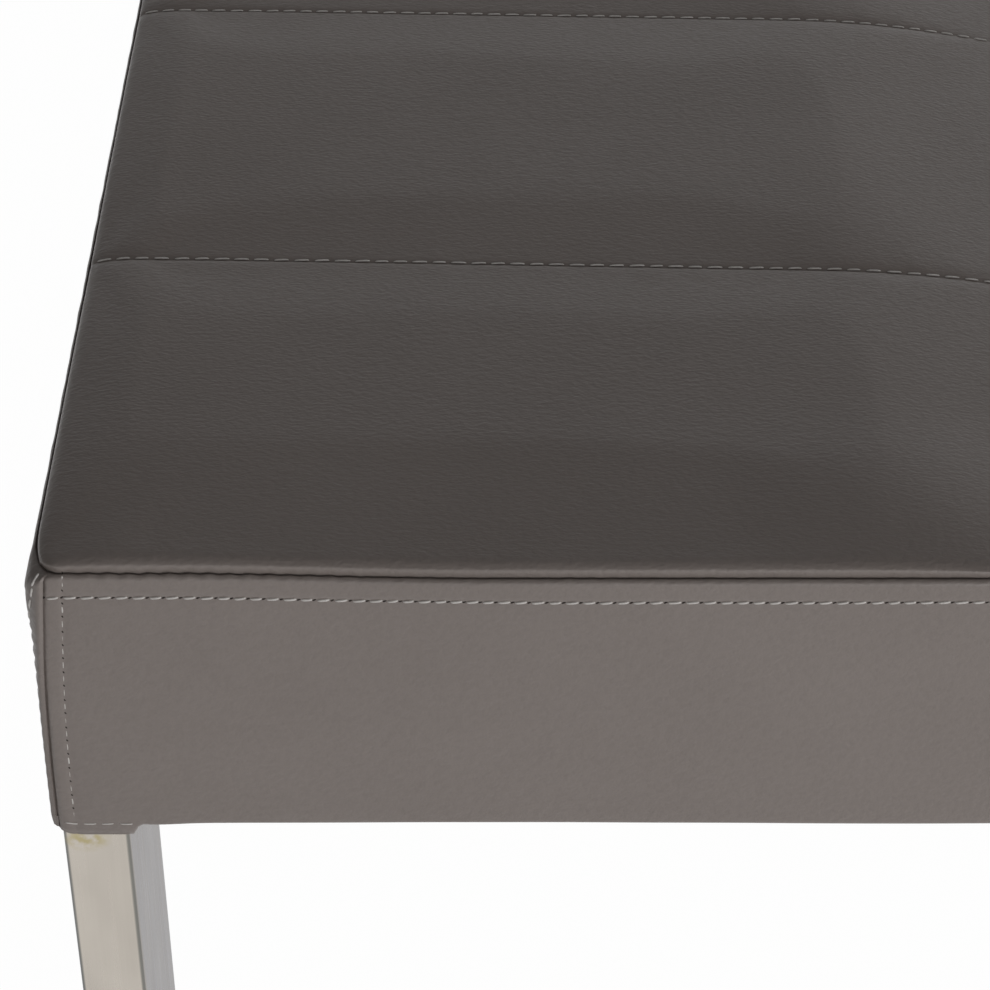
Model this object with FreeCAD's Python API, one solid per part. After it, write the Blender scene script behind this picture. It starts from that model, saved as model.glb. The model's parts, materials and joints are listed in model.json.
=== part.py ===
import FreeCAD, Part
import math
import os

# Upholstered bench: a quilted seat on a wooden frame, carried by four flat tube legs.
# Millimetres. +X runs along the bench to the right, +Y to the back, +Z up.
# The origin is on the floor, under the middle of the seat.

Vector = FreeCAD.Vector

# Overall size, over the outside of the cover
SEAT_LENGTH = 1280.0
SEAT_DEPTH = 470.0
UNDERSIDE_HEIGHT = 360.0  # floor to the underside of the seat

# Cover: one boxing panel on each side, a quilted pad in each section of the top
COVER_THICKNESS = 1.2
HEM_WIDTH = 24.0  # cover turned under the rails, from the outside face
HEM_GAP = 1.0  # hem stops this far short of a leg
CORNER_RADIUS = 3.8  # upright corners
CORNER_SEAM_INSET = 5.6  # seam between a long and an end panel, in from the corner
SEAM_CORNER_RADIUS = 9.0  # edge seam at the seat's corners, in plan
FLAP_DROP = 5.0  # boxing hangs this much lower where it wraps a leg
FLAP_LAP = 3.4  # and runs this far past the leg, where it joins the wall

# Quilted top: sections along the bench, parted by deep seams, and rows parted by stitched lines
SECTION_COUNT = 4
MIDDLE_ROW_DEPTH = 163.0  # middle one of three rows; the other two share the rest
PAD_EDGE_THICKNESS = 12.0  # height of the pad's side, foam to edge seam
EDGE_RISE = 0.6  # crest above the edge seam right at the front and back edges
STITCH_RISE = 5.0  # crest above the edge seam along a stitched line
CROWN_RISE = 6.6  # crest above the edge seam in the middle of a row
VALLEY_DROP = 7.0  # deep seam, below the edge seam
EDGE_ROLL = 6.0  # length of the roll at the front and back edges
STITCH_ROLL = 12.0  # length of the roll on each side of a stitched line
END_ROLL = 22.0  # length of the roll at the bench's two ends
VALLEY_ROLL = 65.0  # length of the roll on each side of a deep seam
VALLEY_FADE = 40.0  # a deep seam comes up to the edge seam over this length
ROLL_STATIONS = (0.0, 0.15, 0.5, 1.0)  # shares of a roll where its curve is taken

# Filling
FOAM_THICKNESS = 24.8
TIE_THICKNESS = 1.0  # strip that holds a deep seam down to the deck
PADDING_THICKNESS = 0.8  # felt between the boxing and the frame

# Wooden frame
RAIL_HEIGHT = 45.0
LONG_RAIL_THICKNESS = 20.0
CROSS_RAIL_THICKNESS = 25.0
DECK_THICKNESS = 12.0
BLOCK_LENGTH = 85.0  # corner block along the bench
BLOCK_LAP = 36.0  # corner block behind the leg, along the end rail

# Dust cover under the seat
DUST_COVER_THICKNESS = 0.8
DUST_COVER_INSET = 12.0  # edge of the sheet, in from the outside face
DUST_COVER_GAP = 8.0  # sheet is cut away this far round a leg plate

# Legs: flat rectangular tube, with a plate for the bolts and a plug as a foot
LEG_WIDTH = 20.0
LEG_DEPTH = 60.0
LEG_WALL = 1.5
LEG_CORNER_RADIUS = 1.8
PLATE_LENGTH = 72.0
PLATE_THICKNESS = 4.0
FOOT_FLANGE = 3.0
FOOT_PLUG_LENGTH = 25.0
FOOT_PLUG_WALL = 2.0
FOOT_CLEARANCE = 0.1

# Leg bolts, with washers and threaded inserts in the corner blocks
BOLT_DIAMETER = 8.0
BOLT_LENGTH = 30.0
BOLT_HEAD_DIAMETER = 14.0
BOLT_HEAD_HEIGHT = 4.4
BOLT_SOCKET = 5.0  # hexagon across flats
BOLT_SOCKET_DEPTH = 2.6
BOLT_EDGE = 18.0  # first bolt, from the leg
BOLT_SPACING = 34.0
BOLT_CLEARANCE = 0.05
PLATE_HOLE_CLEARANCE = 0.5
WASHER_DIAMETER = 18.0
WASHER_THICKNESS = 1.6
INSERT_DIAMETER = 12.0
INSERT_LENGTH = 18.0
BOLT_TIP_ROOM = 3.0  # hole beyond the end of the bolt

# Wood screws
SCREW_DIAMETER = 4.4
SCREW_HEAD_DIAMETER = 8.6
SCREW_HEAD_HEIGHT = 2.8
SCREW_POINT = 6.0
SCREW_CLEARANCE = 0.05
FRAME_SCREW_LENGTH = 50.0
DECK_SCREW_LENGTH = 32.0

# Levels, from the floor up
RAIL_BOTTOM = UNDERSIDE_HEIGHT + COVER_THICKNESS
RAIL_TOP = RAIL_BOTTOM + RAIL_HEIGHT
DECK_TOP = RAIL_TOP + DECK_THICKNESS
FOAM_TOP = DECK_TOP + FOAM_THICKNESS
SEAM_HEIGHT = FOAM_TOP + PAD_EDGE_THICKNESS
BLOCK_BOTTOM = RAIL_BOTTOM + PLATE_THICKNESS
BOLT_HEAD_TOP = RAIL_BOTTOM - WASHER_THICKNESS

# Plan, from the middle of the bench out
HALF_LENGTH = SEAT_LENGTH / 2
HALF_DEPTH = SEAT_DEPTH / 2
FRAME_INSET = COVER_THICKNESS + PADDING_THICKNESS
FRAME_X = HALF_LENGTH - FRAME_INSET
FRAME_Y = HALF_DEPTH - FRAME_INSET
LEG_INNER_X = FRAME_X - LEG_WIDTH
LEG_INNER_Y = FRAME_Y - LEG_DEPTH
LONG_RAIL_INNER_Y = FRAME_Y - LONG_RAIL_THICKNESS
CORNER_SEAM_X = HALF_LENGTH - CORNER_SEAM_INSET
SEAM_INSET = FRAME_INSET  # edge seam, over the face of the frame
PAD_X = HALF_LENGTH - SEAM_INSET
PAD_Y = HALF_DEPTH - SEAM_INSET
SECTION_LENGTH = SEAT_LENGTH / SECTION_COUNT
STITCHED_Y = MIDDLE_ROW_DEPTH / 2  # stitched lines, to the front and back of the middle
ROW_EDGES = (-PAD_Y, -STITCHED_Y, STITCHED_Y, PAD_Y)

# Signs of X and Y at each corner of the bench
CORNERS = {
    "front_left": (-1, -1),
    "front_right": (1, -1),
    "back_left": (-1, 1),
    "back_right": (1, 1),
}


def box(x, y, z):
    """A box between two values on each axis, given in either order."""
    low = Vector(min(x), min(y), min(z))
    return Part.makeBox(max(x) - low.x, max(y) - low.y, max(z) - low.z, low)


def polygon_prism(points, direction):
    """A flat outline pushed along a direction."""
    return Part.Face(Part.makePolygon([*points, points[0]])).extrude(direction)


def rounded_prism(half_x, half_y, radius, levels):
    """Upright block round the Z axis, between two levels, with its four upright edges rounded."""
    block = box((-half_x, half_x), (-half_y, half_y), levels)
    uprights = [edge for edge in block.Edges if edge.BoundBox.ZLength > block.BoundBox.ZLength / 2]
    return block.makeFillet(radius, uprights)


def deep_seams():
    """Places along X of the deep seams between sections."""
    return [i * SECTION_LENGTH - HALF_LENGTH for i in range(1, SECTION_COUNT)]


def section_ends():
    """The two ends along X of each section of the seat."""
    edges = [-HALF_LENGTH, *deep_seams(), HALF_LENGTH]
    return list(zip(edges[:-1], edges[1:]))


# Quilted top


def roll(share):
    """Height share of a quarter round, over the share of its length."""
    return math.sqrt(1 - (1 - min(share, 1.0)) ** 2)


def row_stations():
    """Places along Y from the front edge to the back, each with the crest's rise above the edge seam."""
    stations = []
    for front, back in zip(ROW_EDGES[:-1], ROW_EDGES[1:]):
        at_front_edge = front == -PAD_Y
        at_back_edge = back == PAD_Y
        front_roll, front_rise = (EDGE_ROLL, EDGE_RISE) if at_front_edge else (STITCH_ROLL, STITCH_RISE)
        back_roll, back_rise = (EDGE_ROLL, EDGE_RISE) if at_back_edge else (STITCH_ROLL, STITCH_RISE)
        for share in ROLL_STATIONS if at_front_edge else ROLL_STATIONS[1:]:
            rise = front_rise + (CROWN_RISE - front_rise) * roll(share)
            stations.append((front + share * front_roll, rise))
        for share in reversed(ROLL_STATIONS):
            rise = back_rise + (CROWN_RISE - back_rise) * roll(share)
            stations.append((back - share * back_roll, rise))
    return stations


def rolled_edge(y, end_x, end_z, crest_x, crest_z):
    """Arc from the end of a pad up to its crest, level where it meets the crest."""
    run = abs(crest_x - end_x)
    rise = crest_z - end_z
    radius = (run**2 + rise**2) / (2 * rise)
    half_angle = math.asin(run / radius) / 2
    toward_end = math.copysign(1, end_x - crest_x)
    middle = Vector(
        crest_x + toward_end * radius * math.sin(half_angle),
        y,
        crest_z - radius * (1 - math.cos(half_angle)),
    )
    return Part.Arc(Vector(end_x, y, end_z), middle, Vector(crest_x, y, crest_z)).toShape()


def pad_end(x, y):
    """Where a pad's top meets its end at a section edge: X, height and length of the roll there."""
    if abs(x) == HALF_LENGTH:
        return math.copysign(PAD_X, x), SEAM_HEIGHT, END_ROLL
    depth = VALLEY_DROP * roll((PAD_Y - abs(y)) / VALLEY_FADE)
    return x, SEAM_HEIGHT - depth, VALLEY_ROLL


def pad_outline(left, right, y, rise):
    """Closed outline of a pad across the bench's length, at one place along Y."""
    left_x, left_z, left_roll = pad_end(left, y)
    right_x, right_z, right_roll = pad_end(right, y)
    crest = SEAM_HEIGHT + rise
    left_crest = Vector(left_x + left_roll, y, crest)
    right_crest = Vector(right_x - right_roll, y, crest)
    left_foot = Vector(left_x, y, FOAM_TOP)
    right_foot = Vector(right_x, y, FOAM_TOP)
    return Part.Wire(
        [
            Part.makeLine(left_foot, Vector(left_x, y, left_z)),
            rolled_edge(y, left_x, left_z, left_crest.x, crest),
            Part.makeLine(left_crest, right_crest),
            rolled_edge(y, right_x, right_z, right_crest.x, crest),
            Part.makeLine(Vector(right_x, y, right_z), right_foot),
            Part.makeLine(right_foot, left_foot),
        ]
    )


def top_pad(left, right):
    """Quilted pad of one section: rows crowned between stitched lines, ends rolled down to the seams."""
    outlines = [pad_outline(left, right, y, rise) for y, rise in row_stations()]
    pad = Part.makeLoft(outlines, True, True)
    return pad.common(seam_block((FOAM_TOP, SEAM_HEIGHT + 2 * CROWN_RISE)))


# Boxing, padding and dust cover


def rolled_block(inset):
    """Solid inside the cover's sides, drawn in by an inset, its upper edge rolled in to the edge seam."""
    top = SEAM_HEIGHT - inset
    block = rounded_prism(
        HALF_LENGTH - inset,
        HALF_DEPTH - inset,
        CORNER_RADIUS - inset,
        (UNDERSIDE_HEIGHT, top),
    )
    middle = (UNDERSIDE_HEIGHT + top) / 2
    upper_edges = [edge for edge in block.Edges if edge.BoundBox.ZMin > middle]
    return block.makeFillet(SEAM_INSET - inset, upper_edges)


def seam_block(levels):
    """Upright block inside the edge seam, with the seam's rounded corners."""
    return rounded_prism(PAD_X, PAD_Y, SEAM_CORNER_RADIUS, levels)


def boxing_walls():
    """All four boxing walls as one ring."""
    shell = rolled_block(0).cut(rolled_block(COVER_THICKNESS))
    return shell.cut(seam_block((FOAM_TOP, SEAM_HEIGHT)))


def leg_flaps():
    """Parts of the boxing that hang lower where it wraps the legs, their inner ends cut at a slant."""
    bottom = UNDERSIDE_HEIGHT - FLAP_DROP
    levels = (bottom, UNDERSIDE_HEIGHT)
    outside = rounded_prism(HALF_LENGTH, HALF_DEPTH, CORNER_RADIUS, levels)
    inside = rounded_prism(
        HALF_LENGTH - COVER_THICKNESS,
        HALF_DEPTH - COVER_THICKNESS,
        CORNER_RADIUS - COVER_THICKNESS,
        levels,
    )
    skirt = outside.cut(inside)
    upper_x = LEG_INNER_X - FLAP_LAP
    upper_y = LEG_INNER_Y - FLAP_LAP
    opening_along = polygon_prism(
        [
            Vector(-LEG_INNER_X, -HALF_DEPTH, bottom),
            Vector(LEG_INNER_X, -HALF_DEPTH, bottom),
            Vector(upper_x, -HALF_DEPTH, UNDERSIDE_HEIGHT),
            Vector(-upper_x, -HALF_DEPTH, UNDERSIDE_HEIGHT),
        ],
        Vector(0, SEAT_DEPTH, 0),
    )
    opening_across = polygon_prism(
        [
            Vector(-HALF_LENGTH, -LEG_INNER_Y, bottom),
            Vector(-HALF_LENGTH, LEG_INNER_Y, bottom),
            Vector(-HALF_LENGTH, upper_y, UNDERSIDE_HEIGHT),
            Vector(-HALF_LENGTH, -upper_y, UNDERSIDE_HEIGHT),
        ],
        Vector(SEAT_LENGTH, 0, 0),
    )
    return skirt.cut(opening_along).cut(opening_across)


def boxing(region, hem):
    """One side panel of the cover: the walls and leg flaps inside a region, and a hem under the rail."""
    wall = boxing_walls().common(region)
    return wall.multiFuse([leg_flaps().common(region), hem]).removeSplitter()


def turned_half(shape):
    """A front or left piece, turned half round the bench's middle to the back or the right."""
    copy = shape.copy()
    copy.rotate(Vector(0, 0, 0), Vector(0, 0, 1), 180)
    return copy


def boxing_panels():
    """Panels of the cover's sides. The end ones wrap the corners: their seams are on the long sides."""
    levels = (UNDERSIDE_HEIGHT - FLAP_DROP, SEAM_HEIGHT)
    hem_levels = (UNDERSIDE_HEIGHT, RAIL_BOTTOM)
    hem_x = LEG_INNER_X - HEM_GAP
    hem_y = LEG_INNER_Y - HEM_GAP
    front = boxing(
        box((-CORNER_SEAM_X, CORNER_SEAM_X), (-HALF_DEPTH, 0), levels),
        box((-hem_x, hem_x), (-HALF_DEPTH, -HALF_DEPTH + HEM_WIDTH), hem_levels),
    )
    left = boxing(
        box((-HALF_LENGTH, -CORNER_SEAM_X), (-HALF_DEPTH, HALF_DEPTH), levels),
        box((-HALF_LENGTH, -HALF_LENGTH + HEM_WIDTH), (-hem_y, hem_y), hem_levels),
    )
    return {
        "front_boxing": front,
        "back_boxing": turned_half(front),
        "left_boxing": left,
        "right_boxing": turned_half(left),
    }


def padding_strips():
    """Felt strips between the boxing and the frame, stopped where the cover's corners turn."""
    levels = (RAIL_BOTTOM, SEAM_HEIGHT - SEAM_INSET)
    end_y = HALF_DEPTH - CORNER_RADIUS
    front = box((-CORNER_SEAM_X, CORNER_SEAM_X), (COVER_THICKNESS - HALF_DEPTH, -FRAME_Y), levels)
    left = box((COVER_THICKNESS - HALF_LENGTH, -FRAME_X), (-end_y, end_y), levels)
    return {
        "front_padding_strip": front,
        "back_padding_strip": turned_half(front),
        "left_padding_strip": left,
        "right_padding_strip": turned_half(left),
    }


def dust_cover():
    """Sheet under the seat, cut away round the leg plates at its corners."""
    levels = (UNDERSIDE_HEIGHT - DUST_COVER_THICKNESS, UNDERSIDE_HEIGHT)
    edge_x = HALF_LENGTH - DUST_COVER_INSET
    edge_y = HALF_DEPTH - DUST_COVER_INSET
    notch_x = LEG_INNER_X - PLATE_LENGTH - DUST_COVER_GAP
    notch_y = LEG_INNER_Y - DUST_COVER_GAP
    sheet = box((-edge_x, edge_x), (-edge_y, edge_y), levels)
    notches = [
        box((x * notch_x, x * HALF_LENGTH), (y * notch_y, y * HALF_DEPTH), levels)
        for x, y in CORNERS.values()
    ]
    return sheet.cut(Part.makeCompound(notches))


# Filling


def foam_block(left, right):
    """Foam under one pad, stopped at the frame's faces and at the tie strips beside it."""
    start = -FRAME_X if left == -HALF_LENGTH else left + TIE_THICKNESS / 2
    end = FRAME_X if right == HALF_LENGTH else right - TIE_THICKNESS / 2
    return box((start, end), (-FRAME_Y, FRAME_Y), (DECK_TOP, FOAM_TOP))


def tie_strip(x):
    """Strip sewn to a deep seam and fixed to the deck between two foam blocks."""
    half = TIE_THICKNESS / 2
    return box((x - half, x + half), (-FRAME_Y, FRAME_Y), (DECK_TOP, FOAM_TOP))


# Screws and bolts


def wood_screw(length, place, direction, grow=0.0):
    """Countersunk wood screw with its head flush at a place; grow makes the hole that it goes in."""
    head = SCREW_HEAD_DIAMETER / 2 + grow
    shank = SCREW_DIAMETER / 2 + grow
    outline = Part.makePolygon(
        [
            Vector(0, 0, 0),
            Vector(head, 0, 0),
            Vector(shank, 0, -SCREW_HEAD_HEIGHT),
            Vector(shank, 0, SCREW_POINT - length),
            Vector(0, 0, -length - grow),
            Vector(0, 0, 0),
        ]
    )
    screw = Part.Face(outline).revolve(Vector(0, 0, 0), Vector(0, 0, 1), 360)
    screw.Placement = FreeCAD.Placement(place, FreeCAD.Rotation(Vector(0, 0, -1), direction))
    return screw


def frame_screw_places():
    """Screws through the rails into the corner blocks and cross rails: a place and a direction each."""
    places = []
    thirds = [RAIL_BOTTOM + RAIL_HEIGHT * share for share in (1 / 3, 2 / 3)]
    rail_middle = (RAIL_BOTTOM + RAIL_TOP) / 2
    lap_middle = LEG_INNER_Y - BLOCK_LAP / 2
    for x, y in CORNERS.values():
        for bolt_share in (0.5, 1.5):
            along = LEG_INNER_X - BOLT_EDGE - bolt_share * BOLT_SPACING
            places.append((Vector(x * along, y * FRAME_Y, rail_middle), Vector(0, -y, 0)))
        for z in thirds:
            places.append((Vector(x * FRAME_X, y * lap_middle, z), Vector(-x, 0, 0)))
    for x in deep_seams():
        for y in (-1, 1):
            for z in thirds:
                places.append((Vector(x, y * FRAME_Y, z), Vector(0, -y, 0)))
    return places


def deck_screw_places():
    """Screws down through the deck into the long rails, one at the middle of each section."""
    rail_middle = FRAME_Y - LONG_RAIL_THICKNESS / 2
    return [
        (Vector((left + right) / 2, y * rail_middle, DECK_TOP), Vector(0, 0, -1))
        for left, right in section_ends()
        for y in (-1, 1)
    ]


def screws(length, places, grow=0.0):
    return Part.makeCompound([wood_screw(length, place, way, grow) for place, way in places])


def screw_holes():
    return [
        screws(FRAME_SCREW_LENGTH, frame_screw_places(), SCREW_CLEARANCE),
        screws(DECK_SCREW_LENGTH, deck_screw_places(), SCREW_CLEARANCE),
    ]


def bolt_places():
    """Places of the leg bolts' axes on the underside of the leg plates."""
    middle_y = (LONG_RAIL_INNER_Y + LEG_INNER_Y) / 2
    return [
        Vector(x * (LEG_INNER_X - BOLT_EDGE - n * BOLT_SPACING), y * middle_y, RAIL_BOTTOM)
        for x, y in CORNERS.values()
        for n in range(2)
    ]


def upright(radius, place, bottom, top):
    """An upright cylinder on a place's axis, between two levels."""
    return Part.makeCylinder(radius, top - bottom, Vector(place.x, place.y, bottom))


def leg_bolt(place):
    """Button head bolt from below, with a hexagon socket in its head."""
    head_bottom = BOLT_HEAD_TOP - BOLT_HEAD_HEIGHT
    shank = upright(BOLT_DIAMETER / 2, place, BOLT_HEAD_TOP, BOLT_HEAD_TOP + BOLT_LENGTH)
    head = upright(BOLT_HEAD_DIAMETER / 2, place, head_bottom, BOLT_HEAD_TOP)
    rim = [edge for edge in head.Edges if edge.CenterOfMass.z < head_bottom + BOLT_HEAD_HEIGHT / 4]
    head = head.makeFillet(BOLT_HEAD_HEIGHT / 2, [edge for edge in rim if edge.Closed])
    across_corners = BOLT_SOCKET / math.sqrt(3)
    corners = [
        Vector(
            place.x + across_corners * math.cos(math.pi * n / 3),
            place.y + across_corners * math.sin(math.pi * n / 3),
            head_bottom,
        )
        for n in range(6)
    ]
    socket = polygon_prism(corners, Vector(0, 0, BOLT_SOCKET_DEPTH))
    return shank.fuse(head).cut(socket).removeSplitter()


def washer(place):
    outside = upright(WASHER_DIAMETER / 2, place, BOLT_HEAD_TOP, RAIL_BOTTOM)
    hole = upright(BOLT_DIAMETER / 2 + PLATE_HOLE_CLEARANCE, place, BOLT_HEAD_TOP, RAIL_BOTTOM)
    return outside.cut(hole)


def threaded_insert(place):
    top = BLOCK_BOTTOM + INSERT_LENGTH
    outside = upright(INSERT_DIAMETER / 2, place, BLOCK_BOTTOM, top)
    return outside.cut(upright(BOLT_DIAMETER / 2 + BOLT_CLEARANCE, place, BLOCK_BOTTOM, top))


def fastener_group(make):
    return Part.makeCompound([make(place) for place in bolt_places()])


# Wooden frame


def drilled(piece, holes):
    for hole in holes:
        piece = piece.cut(hole)
    return piece


def long_rails(holes):
    ends = (-LEG_INNER_X, LEG_INNER_X)
    levels = (RAIL_BOTTOM, RAIL_TOP)
    return {
        name: drilled(box(ends, (y * FRAME_Y, y * LONG_RAIL_INNER_Y), levels), holes)
        for name, y in (("front_rail", -1), ("back_rail", 1))
    }


def end_rails(holes):
    """Rails between the legs at each end, as thick as a leg is wide, so that both make one flush wall."""
    ends = (-LEG_INNER_Y, LEG_INNER_Y)
    levels = (RAIL_BOTTOM, RAIL_TOP)
    return {
        name: drilled(box((x * FRAME_X, x * LEG_INNER_X), ends, levels), holes)
        for name, x in (("left_end_rail", -1), ("right_end_rail", 1))
    }


def cross_rail(x, holes):
    half = CROSS_RAIL_THICKNESS / 2
    ends = (-LONG_RAIL_INNER_Y, LONG_RAIL_INNER_Y)
    return drilled(box((x - half, x + half), ends, (RAIL_BOTTOM, RAIL_TOP)), holes)


def corner_block(x, y, holes):
    """Block in the corner behind a leg, bored for the threaded inserts and the ends of the bolts."""
    block = box(
        (x * LEG_INNER_X, x * (LEG_INNER_X - BLOCK_LENGTH)),
        (y * LONG_RAIL_INNER_Y, y * (LEG_INNER_Y - BLOCK_LAP)),
        (BLOCK_BOTTOM, RAIL_TOP),
    )
    tip_radius = BOLT_DIAMETER / 2 + PLATE_HOLE_CLEARANCE
    bolt_top = BOLT_HEAD_TOP + BOLT_LENGTH + BOLT_TIP_ROOM
    for place in bolt_places():
        block = block.cut(upright(INSERT_DIAMETER / 2, place, BLOCK_BOTTOM, BLOCK_BOTTOM + INSERT_LENGTH))
        block = block.cut(upright(tip_radius, place, BLOCK_BOTTOM, bolt_top))
    return drilled(block, holes)


def seat_deck(holes):
    return drilled(box((-FRAME_X, FRAME_X), (-FRAME_Y, FRAME_Y), (RAIL_TOP, DECK_TOP)), holes)


# Legs


def leg_block(inset, bottom, top, radius):
    """Upright block of a leg's section, drawn in by an inset, round the Z axis."""
    return rounded_prism(LEG_WIDTH / 2 - inset, LEG_DEPTH / 2 - inset, radius, (bottom, top))


def at_leg(shape, x, y):
    """A piece drawn on the Z axis, moved to the middle of the leg at one corner."""
    moved = shape.copy()
    moved.translate(Vector(x * (FRAME_X - LEG_WIDTH / 2), y * (FRAME_Y - LEG_DEPTH / 2), 0))
    return moved


def leg_tube():
    """Tube from the foot's flange up to the deck, which it carries."""
    inner_radius = max(LEG_CORNER_RADIUS - LEG_WALL, LEG_CORNER_RADIUS / 4)
    outside = leg_block(0, FOOT_FLANGE, RAIL_TOP, LEG_CORNER_RADIUS)
    return outside.cut(leg_block(LEG_WALL, FOOT_FLANGE, RAIL_TOP, inner_radius))


def foot_plug():
    """Plastic plug in the end of a leg: a flange to stand on and a hollow shank inside the tube."""
    plug_inset = LEG_WALL + FOOT_CLEARANCE
    top = FOOT_FLANGE + FOOT_PLUG_LENGTH
    inner_radius = max(LEG_CORNER_RADIUS - LEG_WALL, LEG_CORNER_RADIUS / 4)
    flange = leg_block(0, 0, FOOT_FLANGE, LEG_CORNER_RADIUS)
    shank = leg_block(plug_inset, FOOT_FLANGE, top, inner_radius)
    hollow = leg_block(plug_inset + FOOT_PLUG_WALL, FOOT_FLANGE, top, inner_radius)
    return flange.fuse(shank.cut(hollow)).removeSplitter()


def leg_plate(x, y):
    """Plate welded to the inner face of a leg, under the corner block, with holes for the bolts."""
    plate = box(
        (x * LEG_INNER_X, x * (LEG_INNER_X - PLATE_LENGTH)),
        (y * LONG_RAIL_INNER_Y, y * LEG_INNER_Y),
        (RAIL_BOTTOM, BLOCK_BOTTOM),
    )
    hole_radius = BOLT_DIAMETER / 2 + PLATE_HOLE_CLEARANCE
    for place in bolt_places():
        plate = plate.cut(upright(hole_radius, place, RAIL_BOTTOM, BLOCK_BOTTOM))
    return plate


def seat_pieces():
    pieces = {**boxing_panels(), **padding_strips(), "dust_cover": dust_cover()}
    for number, (left, right) in enumerate(section_ends(), start=1):
        pieces[f"top_pad_{number}"] = top_pad(left, right)
        pieces[f"foam_block_{number}"] = foam_block(left, right)
    for number, x in enumerate(deep_seams(), start=1):
        pieces[f"tie_strip_{number}"] = tie_strip(x)
    return pieces


def frame_pieces():
    holes = screw_holes()
    pieces = {**long_rails(holes), **end_rails(holes), "seat_deck": seat_deck(holes)}
    for number, x in enumerate(deep_seams(), start=1):
        pieces[f"cross_rail_{number}"] = cross_rail(x, holes)
    for corner, (x, y) in CORNERS.items():
        pieces[f"{corner}_corner_block"] = corner_block(x, y, holes)
    pieces["frame_screws"] = screws(FRAME_SCREW_LENGTH, frame_screw_places())
    pieces["deck_screws"] = screws(DECK_SCREW_LENGTH, deck_screw_places())
    return pieces


def leg_pieces():
    tube = leg_tube()
    plug = foot_plug()
    pieces = {
        "leg_bolts": fastener_group(leg_bolt),
        "leg_washers": fastener_group(washer),
        "threaded_inserts": fastener_group(threaded_insert),
    }
    for corner, (x, y) in CORNERS.items():
        pieces[f"{corner}_leg"] = at_leg(tube, x, y)
        pieces[f"{corner}_foot_plug"] = at_leg(plug, x, y)
        pieces[f"{corner}_leg_plate"] = leg_plate(x, y)
    return pieces


def main():
    os.makedirs("parts", exist_ok=True)
    for name, shape in {**seat_pieces(), **frame_pieces(), **leg_pieces()}.items():
        shape.exportStep(f"parts/{name}.step")


main()
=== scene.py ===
import json
import math
import random
from functools import partial

import bpy
from mathutils import Matrix, Vector, noise


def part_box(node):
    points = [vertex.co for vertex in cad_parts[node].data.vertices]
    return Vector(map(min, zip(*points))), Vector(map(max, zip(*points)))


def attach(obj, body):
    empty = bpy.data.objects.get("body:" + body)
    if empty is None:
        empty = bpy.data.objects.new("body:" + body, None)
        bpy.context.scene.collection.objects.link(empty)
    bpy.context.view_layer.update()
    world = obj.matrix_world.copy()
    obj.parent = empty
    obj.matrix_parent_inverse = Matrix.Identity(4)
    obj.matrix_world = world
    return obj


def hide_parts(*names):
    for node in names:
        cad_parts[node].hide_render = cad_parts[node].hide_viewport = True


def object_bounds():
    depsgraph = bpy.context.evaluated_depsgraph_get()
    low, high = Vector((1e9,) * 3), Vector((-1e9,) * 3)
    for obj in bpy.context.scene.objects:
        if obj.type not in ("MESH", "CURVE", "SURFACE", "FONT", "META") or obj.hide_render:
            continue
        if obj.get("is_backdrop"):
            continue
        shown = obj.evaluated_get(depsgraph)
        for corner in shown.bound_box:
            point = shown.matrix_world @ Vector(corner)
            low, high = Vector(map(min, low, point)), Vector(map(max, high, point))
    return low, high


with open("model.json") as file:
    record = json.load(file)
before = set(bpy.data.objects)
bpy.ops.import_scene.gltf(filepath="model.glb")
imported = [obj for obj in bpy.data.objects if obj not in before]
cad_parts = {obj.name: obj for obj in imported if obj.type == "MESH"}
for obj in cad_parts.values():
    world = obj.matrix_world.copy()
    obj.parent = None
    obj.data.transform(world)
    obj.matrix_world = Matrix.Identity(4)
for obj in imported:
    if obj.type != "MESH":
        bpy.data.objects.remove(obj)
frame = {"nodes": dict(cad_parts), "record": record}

CAD_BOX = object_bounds()

# Upholstered bench: a quilted leather seat with stitched boxing, on flat brushed steel legs.
# Metres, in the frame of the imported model: +X along the bench, +Y to the back, +Z up.

MM = 0.001
QUARTER_TURN = math.pi / 2

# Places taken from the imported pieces
FRONT_LOW, FRONT_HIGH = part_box("front_boxing")
PAD_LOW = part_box("top_pad_1")[0]
LEG_LOW, LEG_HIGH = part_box("front_left_leg")
PLATE_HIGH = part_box("front_left_leg_plate")[1]
COVER_LOW, COVER_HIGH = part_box("dust_cover")
HALF_LENGTH = -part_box("left_boxing")[0].x
HALF_DEPTH = -FRONT_LOW.y
SEAM_Z = FRONT_HIGH.z
FLAP_Z = FRONT_LOW.z
UNDERSIDE_Z = COVER_HIGH.z
BOXING_HEIGHT = SEAM_Z - UNDERSIDE_Z
CORNER_SEAM_X = FRONT_HIGH.x
PAD_X = -PAD_LOW.x
PAD_Y = -PAD_LOW.y
PAD_BOTTOM = PAD_LOW.z
SEAM_INSET = HALF_LENGTH - PAD_X
LEG_INNER_X = -LEG_HIGH.x
LEG_INNER_Y = -LEG_HIGH.y

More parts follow.
